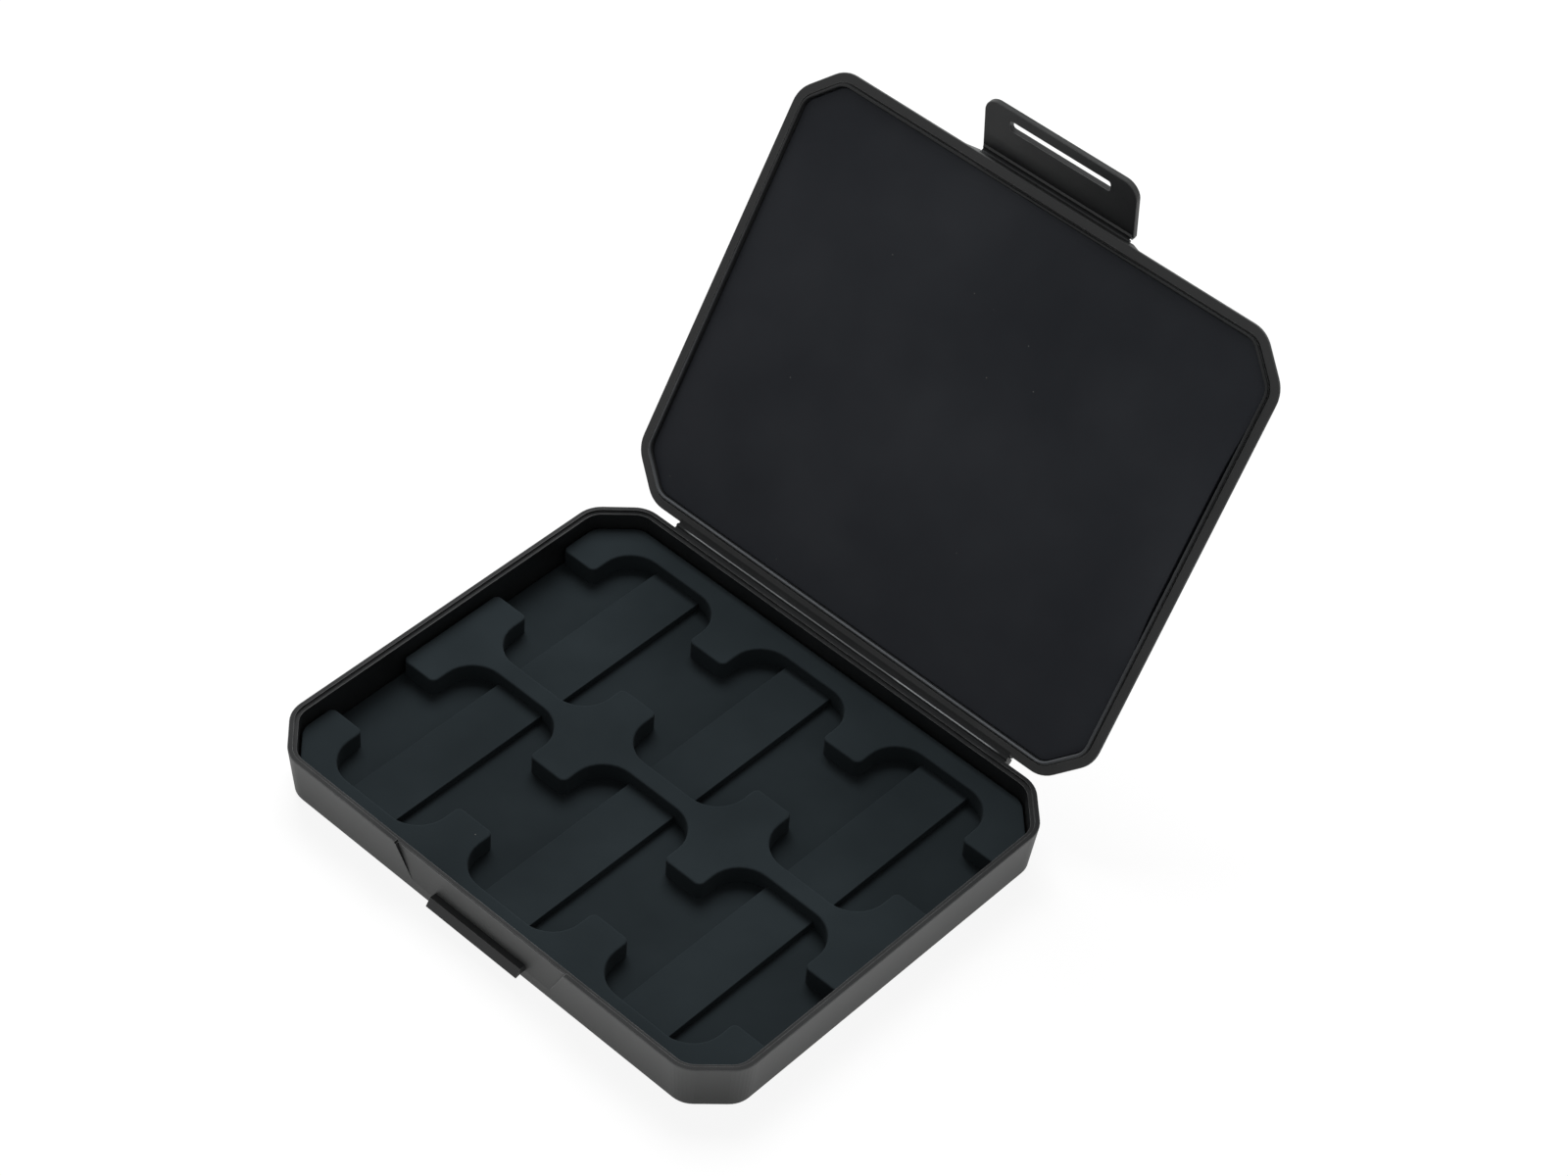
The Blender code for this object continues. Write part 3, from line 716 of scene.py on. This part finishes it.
def outside_group():
    """Outer side of a moulding: the normal times the offset from a centre in its open face
    is positive there. Of the offset, the part along the opening counts in full and the
    rest for a tenth, so a rim that only leans a little stays inside. The mask rises over
    offsets from 0.5 to 3 mm. Painted Sheen is the mask times one minus the distance below
    the rim over Depth: a painted sheen that makes the outer walls lighter towards the rim."""
    group, start, end = group_with(
        "outer_side",
        [("Place", "NodeSocketVector", None), ("Normal", "NodeSocketVector", None),
         ("Centre", "NodeSocketVector", None), ("Opening", "NodeSocketVector", None),
         ("Depth", "NodeSocketFloat", 0.01)],
        [("Mask", "NodeSocketFloat"), ("Painted Sheen", "NodeSocketFloat")],
    )
    offset = put(group, "ShaderNodeVectorMath", operation="SUBTRACT")
    height = put(group, "ShaderNodeVectorMath", operation="DOT_PRODUCT")
    along = put(group, "ShaderNodeVectorMath", operation="SCALE")
    small = put(group, "ShaderNodeVectorMath", operation="SCALE")
    small.inputs["Scale"].default_value = SIDEWAYS_SHARE
    both = put(group, "ShaderNodeVectorMath", operation="ADD")
    facing = put(group, "ShaderNodeVectorMath", operation="DOT_PRODUCT")
    link = group.links.new
    link(start.outputs["Place"], offset.inputs[0])
    link(start.outputs["Centre"], offset.inputs[1])
    link(offset.outputs[0], height.inputs[0])
    link(start.outputs["Opening"], height.inputs[1])
    link(start.outputs["Opening"], along.inputs[0])
    link(height.outputs["Value"], along.inputs["Scale"])
    link(offset.outputs[0], small.inputs[0])
    link(small.outputs[0], both.inputs[0])
    link(along.outputs[0], both.inputs[1])
    link(both.outputs[0], facing.inputs[0])
    link(start.outputs["Normal"], facing.inputs[1])
    mask = spread(group, facing.outputs["Value"], OUTSIDE_FROM, OUTSIDE_FULL, 0.0, 1.0)
    link(mask, end.inputs["Mask"])
    share = put(group, "ShaderNodeMath", operation="DIVIDE")
    near = put(group, "ShaderNodeMath", operation="ADD", use_clamp=True)
    near.inputs[1].default_value = 1.0
    painted_sheen = put(group, "ShaderNodeMath", operation="MULTIPLY")
    link(height.outputs["Value"], share.inputs[0])
    link(start.outputs["Depth"], share.inputs[1])
    link(share.outputs[0], near.inputs[0])
    link(near.outputs[0], painted_sheen.inputs[0])
    link(mask, painted_sheen.inputs[1])
    link(painted_sheen.outputs[0], end.inputs["Painted Sheen"])
    return group


OUTSIDE = outside_group()
print("outside sockets:", [item.name for item in OUTSIDE.interface.items_tree])

# %% [markdown]
# Foam holds on to dust. Single specks could be tiny pieces, but a mask in the finish
# costs nothing and stays with the surface: a few cells of a Voronoi texture are chosen,
# and only the very middle of a chosen cell is a speck.

# %% Dust
CHOSEN_FROM, CHOSEN_FULL = 0.80, 0.84
SPECK_EDGE, SPECK_FULL = 0.03, 0.018


def dust_group():
    """Sparse specks: cells of a Voronoi texture whose random value is high, and within
    them the points nearer to the cell's seed than a small share of its size."""
    group, start, end = group_with(
        "dust_specks",
        [("Place", "NodeSocketVector", None), ("Specks per Metre", "NodeSocketFloat", 220.0)],
        [("Mask", "NodeSocketFloat")],
    )
    cells = put(group, "ShaderNodeTexVoronoi", feature="F1")
    chosen = put(group, "ShaderNodeSeparateColor")
    product = put(group, "ShaderNodeMath", operation="MULTIPLY")
    link = group.links.new
    link(start.outputs["Place"], cells.inputs["Vector"])
    link(start.outputs["Specks per Metre"], cells.inputs["Scale"])
    link(cells.outputs["Color"], chosen.inputs[0])
    link(spread(group, chosen.outputs[0], CHOSEN_FROM, CHOSEN_FULL, 0.0, 1.0), product.inputs[0])
    speck = spread(group, cells.outputs["Distance"], SPECK_EDGE, SPECK_FULL, 0.0, 1.0)
    link(speck, product.inputs[1])
    link(product.outputs[0], end.inputs["Mask"])
    return group


DUST = dust_group()
print("groups:", [group.name for group in (GRAIN, EDGE_HIGHLIGHT, OUTSIDE, DUST)])

# %% [markdown]
# A finish starts from three choices: a dark and a light colour that the cloudiness
# mixes, a range of roughness that it also moves, and how deep the grain is. The painted
# edge highlight, the greyer outer side with its painted reflection, the painted sheen
# towards the rim, dust, the crest's painted highlight and the pale fold mark are then
# laid over the colour one by one, each through its own mask, so a material has only the
# layers that it needs.

# %% The ground of every matt finish
CLOUD_LOW, CLOUD_HIGH = 0.3, 0.7


def matt_ground(name, dark, light, rough, grain, cloud, depth, specular):
    """Principled material: Base Color is dark to light by the cloud, Roughness runs between
    the two values of rough against it, and a Bump of the given depth reads the height."""
    made = bpy.data.materials.new(name)
    made.use_nodes = True
    tree = made.node_tree
    shader = tree.nodes["Principled BSDF"]
    shader.inputs["Specular IOR Level"].default_value = specular
    place = put(tree, "ShaderNodeTexCoord")
    effect = put(tree, "ShaderNodeGroup", node_tree=GRAIN)
    effect.inputs["Grain per Metre"].default_value = grain
    effect.inputs["Cloud per Metre"].default_value = cloud
    tree.links.new(place.outputs["Object"], effect.inputs["Place"])
    mix = put(tree, "ShaderNodeMix", data_type="RGBA")
    mix.inputs["A"].default_value = (*dark, 1.0)
    mix.inputs["B"].default_value = (*light, 1.0)
    cloudy = spread(tree, effect.outputs["Cloud"], CLOUD_LOW, CLOUD_HIGH, 0.0, 1.0)
    tree.links.new(cloudy, mix.inputs["Factor"])
    bump = put(tree, "ShaderNodeBump", Strength=1.0, Distance=depth)
    tree.links.new(effect.outputs["Height"], bump.inputs["Height"])
    tree.links.new(mix.outputs["Result"], shader.inputs["Base Color"])
    sheen = spread(tree, effect.outputs["Cloud"], CLOUD_LOW, CLOUD_HIGH, rough[1], rough[0])
    tree.links.new(sheen, shader.inputs["Roughness"])
    tree.links.new(bump.outputs["Normal"], shader.inputs["Normal"])
    return made


# %% Layers over the ground
LAYER_LOW, LAYER_HIGH = 0.35, 0.65
DARKER, PALER = 0.94, 1.06


def lay(made, mask, color, rough=None):
    """Mixes a colour, and where given a roughness, over what the shader has, by a mask. The
    colour runs from 6 percent under its value to 6 over, with the same cloud."""
    tree = made.node_tree
    shader = tree.nodes["Principled BSDF"]
    effect = next(node for node in tree.nodes if getattr(node, "node_tree", None) == GRAIN)
    layer = put(tree, "ShaderNodeMix", data_type="RGBA")
    layer.inputs["A"].default_value = (*(np.array(color) * DARKER), 1.0)
    layer.inputs["B"].default_value = (*(np.array(color) * PALER), 1.0)
    cloudy = spread(tree, effect.outputs["Cloud"], LAYER_LOW, LAYER_HIGH, 0.0, 1.0)
    tree.links.new(cloudy, layer.inputs["Factor"])
    mix = put(tree, "ShaderNodeMix", data_type="RGBA")
    tree.links.new(layer.outputs["Result"], mix.inputs["B"])
    tree.links.new(shader.inputs["Base Color"].links[0].from_socket, mix.inputs["A"])
    tree.links.new(mask, mix.inputs["Factor"])
    tree.links.new(mix.outputs["Result"], shader.inputs["Base Color"])
    if rough is not None:
        blend = put(tree, "ShaderNodeMix", data_type="FLOAT")
        blend.inputs["B"].default_value = rough
        tree.links.new(shader.inputs["Roughness"].links[0].from_socket, blend.inputs["A"])
        tree.links.new(mask, blend.inputs["Factor"])
        tree.links.new(blend.outputs["Result"], shader.inputs["Roughness"])


def mask_from(made, group, **values):
    """Places an effect group in a material, fed with Object coordinates, and returns its mask."""
    tree = made.node_tree
    place = put(tree, "ShaderNodeTexCoord")
    effect = put(tree, "ShaderNodeGroup", node_tree=group)
    tree.links.new(place.outputs["Object"], effect.inputs["Place"])
    if "Normal" in effect.inputs:
        tree.links.new(place.outputs["Normal"], effect.inputs["Normal"])
    for label, value in values.items():
        effect.inputs[label.replace("_", " ")].default_value = value
    return effect.outputs["Mask"]


def wear(piece, finish):
    """Puts a finish in every material slot of a piece."""
    if not piece.data.materials:
        piece.data.materials.append(finish)
    for slot in piece.material_slots:
        slot.material = finish


# %% [markdown]
# Each of the three mouldings gets a finish of its own, because each has its own middle
# of the mouth, its own way out of it and its own depth. Colours and grain are the same.

# %% The moulded shell, one finish per body
SHELL_DARK, SHELL_LIGHT = (0.0108, 0.0115, 0.0121), (0.0156, 0.0165, 0.0172)
# Grey of the grained outside: partly the grain's own tone, partly painted reflection of the white
# floor.
OUTER_GREY_WITH_PAINTED_REFLECTION = (0.036, 0.038, 0.037)
# Colour of the painted sheen that lightens the outer walls towards the rim.
PAINTED_SHEEN_GREY = (0.112, 0.115, 0.114)
# Colour of the painted highlight on the edges.
EDGE_HIGHLIGHT_GREY = (0.20, 0.205, 0.205)
SHELL_GRAIN = 3300
LID_MIDDLE = open_lid(np.array([0.0, 0.0, LID_PLANE]))
LID_OPENING = turned([[0.0, -1.0]], OPEN_TURN)[0]
LATCH_OPENING = turned([[1.0, 0.0]], OPEN_TURN + LATCH_TURN)[0]
SIDES = {
    "base_shell": ((0.0, 0.0, BASE_HEIGHT), (0.0, 0.0, 1.0), 8.5 * mm),
    "lid_shell": (tuple(LID_MIDDLE), (0.0, *LID_OPENING), 4.5 * mm),
    "latch": (tuple(LATCH_PIVOT), (0.0, *LATCH_OPENING), 1.5 * mm),
}


def shell_finish(name, centre, opening, depth):
    """Smooth and nearly black inside; grained outside and greyer there, partly for the grain
    and partly as painted reflection of the white floor. The outer walls get a painted sheen
    towards the rim, and the edges a painted highlight."""
    made = matt_ground(
        name, SHELL_DARK, SHELL_LIGHT, (0.34, 0.46),
        grain=SHELL_GRAIN, cloud=70, depth=0.018 * mm, specular=0.45,
    )
    outer = mask_from(made, OUTSIDE, Centre=centre, Opening=opening, Depth=depth)
    # Greyer grained outside, partly a painted reflection of the white floor.
    lay(made, outer, OUTER_GREY_WITH_PAINTED_REFLECTION, 0.55)
    # Painted sheen: the outer walls painted lighter towards the rim.
    lay(made, outer.node.outputs["Painted Sheen"], PAINTED_SHEEN_GREY)
    # Painted highlight along the edges, through the bevel mask.
    lay(made, mask_from(made, EDGE_HIGHLIGHT), EDGE_HIGHLIGHT_GREY, 0.38)
    return made


for name, (centre, opening, depth) in SIDES.items():
    wear(nodes[name], shell_finish(name + "_moulding", centre, opening, depth))
print("mouldings:", sorted(SIDES))

# %% The crest of the lip with its painted highlight, and the webs with their pale marks
# Colour of the painted highlight on the crest.
CREST_HIGHLIGHT_GREY = (0.132, 0.14, 0.150)
WEB_DARK, WEB_LIGHT = (0.0098, 0.0105, 0.0111), (0.0136, 0.0145, 0.0151)
MARK_PALE = (0.77, 0.80, 0.82)


def stored_mask(made, name):
    """The value that a piece keeps for each of its points under a name."""
    return put(made.node_tree, "ShaderNodeAttribute", attribute_name=name).outputs["Fac"]


crest_finish = matt_ground(
    "lip_crest_moulding", SHELL_DARK, SHELL_LIGHT, (0.40, 0.52),
    grain=SHELL_GRAIN, cloud=70, depth=0.012 * mm, specular=0.3,
)
# Painted highlight on the crest near the fold.
lay(crest_finish, stored_mask(crest_finish, "crest_highlight"), CREST_HIGHLIGHT_GREY, 0.4)
wear(lip_crest, crest_finish)
web_finish = matt_ground(
    "folded_web", WEB_DARK, WEB_LIGHT, (0.50, 0.62),
    grain=SHELL_GRAIN, cloud=120, depth=0.01 * mm, specular=0.3,
)
lay(web_finish, stored_mask(web_finish, "stress"), MARK_PALE, 0.5)
wear(hinge_web, web_finish)
wear(latch_web, web_finish)
print("finishes with a stored mask:", crest_finish.name, web_finish.name)

# %% [markdown]
# Foam scatters light, so its finishes have hardly any gloss. One recipe does for the
# strips, the ribs and the floor, in lit and shaded copies: the strips and ribs are painted
# lighter as lit, and the pocket floor is painted darker as shaded. The liner is smoother
# and bluer. The films are pale, and no more than their edges ever shows.

# %% The soft pieces and the films behind them
FOAM_DARK = np.array([0.0165, 0.0215, 0.0242])
FOAM_LIGHT = np.array([0.0215, 0.028, 0.0315])
LINER_DARK, LINER_LIGHT = (0.0205, 0.0230, 0.0290), (0.0250, 0.0280, 0.0345)
FILM_DARK, FILM_LIGHT = (0.52, 0.50, 0.44), (0.62, 0.60, 0.54)
DUST_GREY = (0.16, 0.16, 0.15)
FOAM_GRAIN, FILM_GRAIN = 2600, 1500


def foam_finish(name, painted_light_gain):
    """Matt foam, its two colours times gain: above one it is painted lighter, as lit, and
    below one painted darker, as shaded.
    """
    return matt_ground(
        name, tuple(FOAM_DARK * painted_light_gain), tuple(FOAM_LIGHT * painted_light_gain), (0.80, 0.93),
        grain=FOAM_GRAIN, cloud=45, depth=0.016 * mm, specular=0.15,
    )


# Lit and shaded copies of one foam: strips and ribs painted lighter, the pocket floor painted
# darker.
lit_strip_finish = foam_finish("foam_of_the_strips_painted_lit", 1.14)
lit_rib_finish = foam_finish("foam_of_the_ribs_painted_lit", 1.08)
shaded_floor_finish = foam_finish("foam_floor_painted_shade", 0.96)
liner_finish = matt_ground(
    "soft_liner_foam", LINER_DARK, LINER_LIGHT, (0.66, 0.80),
    grain=FOAM_GRAIN, cloud=35, depth=0.012 * mm, specular=0.32,
)
film_finish = matt_ground(
    "bonding_film", FILM_DARK, FILM_LIGHT, (0.5, 0.65),
    grain=FILM_GRAIN, cloud=120, depth=0.01 * mm, specular=0.5,
)
for finish in (lit_strip_finish, lit_rib_finish, shaded_floor_finish, liner_finish):
    lay(finish, mask_from(finish, DUST), DUST_GREY)
for piece in tray_pieces:
    wear(piece, lit_rib_finish if piece.name.startswith("rib") else lit_strip_finish)
wear(tray_floor, shaded_floor_finish)
wear(liner, liner_finish)
for name in ("tray_film", "liner_film"):
    wear(nodes[name], film_finish)
print("finishes:", sorted(m.name for m in bpy.data.materials if m.users))

# %% [markdown]
# ## The stage
#
# The photograph is a studio shot on white with almost no shadow. The tops of the tray
# are lit and the walls that face the camera inside it are nearly black, so the light
# comes from behind and above, a little to the left. The outer walls are the brightest
# plastic, because they mirror the white floor. So the floor and the world are white to
# the camera and in reflections, and what lights the case is a dim world and one large
# soft lamp.

# %% Floor and world
scene = bpy.context.scene
FLOOR_SIZE = 6.0
FLOOR_DROP = 0.02 * mm
FLOOR_PLAIN, FLOOR_GLOW, FLOOR_LIT = 0.85, 0.9, 0.15
WORLD_LIGHT, WORLD_SEEN = 0.15, 1.0


def seen_white(tree, plain, white):
    """Mixes a plain shader with a white one for camera, glossy and transmission rays."""
    path = put(tree, "ShaderNodeLightPath")
    first = put(tree, "ShaderNodeMath", operation="MAXIMUM")
    seen = put(tree, "ShaderNodeMath", operation="MAXIMUM")
    tree.links.new(path.outputs["Is Camera Ray"], first.inputs[0])
    tree.links.new(path.outputs["Is Glossy Ray"], first.inputs[1])
    tree.links.new(first.outputs[0], seen.inputs[0])
    tree.links.new(path.outputs["Is Transmission Ray"], seen.inputs[1])
    mix = put(tree, "ShaderNodeMixShader")
    tree.links.new(seen.outputs[0], mix.inputs[0])
    tree.links.new(plain, mix.inputs[1])
    tree.links.new(white, mix.inputs[2])
    return mix.outputs[0]


floor_material = bpy.data.materials.new("white_floor")
floor_material.use_nodes = True
tree = floor_material.node_tree
tree.nodes.remove(tree.nodes["Principled BSDF"])
plain = put(tree, "ShaderNodeBsdfDiffuse", Color=(FLOOR_PLAIN, FLOOR_PLAIN, FLOOR_PLAIN, 1.0))
glow = put(tree, "ShaderNodeEmission", Strength=FLOOR_GLOW)
lit = put(tree, "ShaderNodeBsdfDiffuse", Color=(FLOOR_LIT, FLOOR_LIT, FLOOR_LIT, 1.0))
both = put(tree, "ShaderNodeAddShader")
tree.links.new(glow.outputs[0], both.inputs[0])
tree.links.new(lit.outputs[0], both.inputs[1])
surface = seen_white(tree, plain.outputs[0], both.outputs[0])
tree.links.new(surface, tree.nodes["Material Output"].inputs[0])

bpy.ops.mesh.primitive_plane_add(size=FLOOR_SIZE, location=(0, 0, -FLOOR_DROP))
floor = bpy.context.object
floor.name = "floor"
floor.data.materials.append(floor_material)

world = bpy.data.worlds.new("studio")
scene.world = world
world.use_nodes = True
tree = world.node_tree
dim = tree.nodes["Background"]
dim.inputs["Color"].default_value = (1.0, 1.0, 1.0, 1.0)
dim.inputs["Strength"].default_value = WORLD_LIGHT
bright = put(tree, "ShaderNodeBackground", Strength=WORLD_SEEN)
surface = seen_white(tree, dim.outputs[0], bright.outputs[0])
tree.links.new(surface, tree.nodes["World Output"].inputs[0])
print("floor and world are white to the camera, world light:", WORLD_LIGHT)

# %% The lamp
KEY_PLACE, KEY_TARGET = (-0.5, 0.5, 0.85), (0, 0, 0.02)
KEY_SIZE, KEY_POWER = 0.7, 13.0


def stand(made, place, turn):
    """Puts an object at a place and turns it, so that its own X, Y and Z axes point along
    the three columns of turn."""
    facing = Matrix(turn.tolist()).to_quaternion()
    made.matrix_world = Matrix.LocRotScale(place, facing, None)


def softbox(name, place, target, size, power):
    """Square area lamp at place, turned so that its -Z axis points at target. Glossy
    rays pass it by: what the plastic mirrors is the white studio round it."""
    lamp = bpy.data.lights.new(name, "AREA")
    lamp.energy = power
    lamp.size = size
    made = bpy.data.objects.new(name, lamp)
    made.visible_glossy = False
    scene.collection.objects.link(made)
    back = np.array(place) - np.array(target)
    back /= np.linalg.norm(back)
    side = np.cross((0, 0, 1), back)
    side /= np.linalg.norm(side)
    stand(made, place, np.column_stack([side, np.cross(back, side), back]))
    return made


key = softbox("key_soft", KEY_PLACE, KEY_TARGET, KEY_SIZE, KEY_POWER)
print("lamp:", key.name, "power in watts:", key.data.energy)

# %% [markdown]
# The camera is worked out from the photograph rather than placed by eye: its place, two
# angles, a small roll and a long lens were fitted to the outlines of the case. The lens
# in millimetres is the fitted length in pixels over the picture's width, times the
# width of the sensor.

# %% The camera
CAMERA_PLACE = (0.296806, -0.3338195, 0.5112204)
AZIMUTH, ELEVATION, ROLL = np.radians([39.3198, 45.4418, 5.0921])
FOCAL_PIXELS, PHOTO_WIDTH = 3939.86, 1600
SENSOR_WIDTH, NEAREST = 36.0, 0.01
side = np.array([np.cos(AZIMUTH), np.sin(AZIMUTH), 0.0])
away = np.array([np.sin(AZIMUTH), -np.cos(AZIMUTH), 0.0])
back = away * np.cos(ELEVATION) + np.array([0.0, 0.0, np.sin(ELEVATION)])
up = np.cross(back, side)
rolled = np.column_stack([
    side * np.cos(ROLL) + up * np.sin(ROLL), up * np.cos(ROLL) - side * np.sin(ROLL), back,
])
lens = bpy.data.cameras.new("camera")
lens.sensor_width = SENSOR_WIDTH
lens.lens = FOCAL_PIXELS / PHOTO_WIDTH * SENSOR_WIDTH
lens.clip_start = NEAREST
camera = bpy.data.objects.new("camera", lens)
scene.collection.objects.link(camera)
stand(camera, CAMERA_PLACE, rolled)
scene.camera = camera
scene.view_settings.view_transform = "Standard"
print("lens mm:", round(lens.lens, 2))
